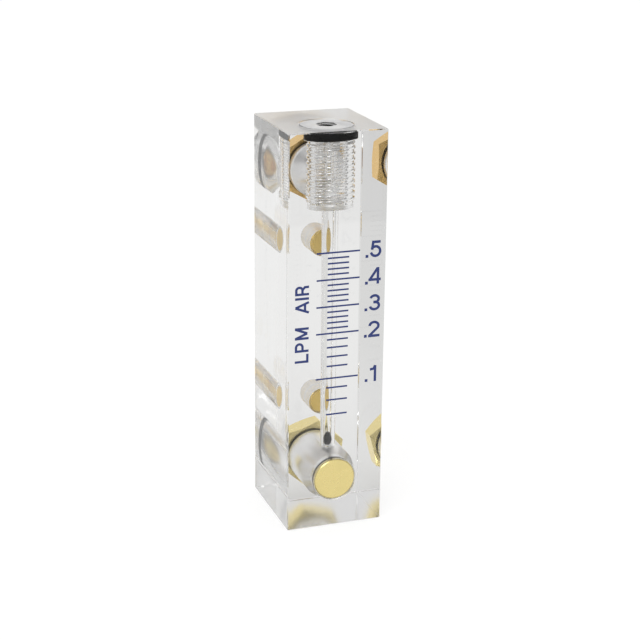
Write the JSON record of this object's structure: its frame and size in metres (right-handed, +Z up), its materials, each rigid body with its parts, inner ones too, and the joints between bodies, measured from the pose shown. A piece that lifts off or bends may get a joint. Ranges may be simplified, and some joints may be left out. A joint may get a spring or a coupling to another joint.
{
  "type": "rotameter",
  "caption": "Variable area flow meter: ball float in a tapered bore in a clear acrylic block, printed scale, brass ports and mounting inserts at the back.",
  "frame": {"origin": "middle of the block's base", "axes": "+Z up along the metering bore, -Y out of the printed front face, +Y out of the ports and mounting holes"},
  "size_m": [0.0286, 0.0373, 0.1159],
  "materials": {
    "acrylic": "clear cast acrylic, polished outside, as machined in the holes",
    "brass": "turned brass, bright",
    "black_rubber": "smooth moulded nitrile",
    "black_glass": "polished black glass"
  },
  "bodies": {
    "meter": {"acrylic_block": "acrylic", "top_plug": "acrylic", "top_plug_seal": "black_rubber", "upper_port_adapter": "brass", "lower_port_adapter": "brass", "upper_port_seal": "black_rubber", "lower_port_seal": "black_rubber", "front_plug": "brass", "front_plug_seal": "black_rubber", "upper_mounting_insert": "brass", "lower_mounting_insert": "brass"},
    "float": {"float_ball": "black_glass"}
  },
  "joints": [
    {"name": "float_rise", "type": "slide", "parent": "meter", "child": "float", "axis": [0, 0, 1], "range_m": [0, 0.069]}
  ]
}
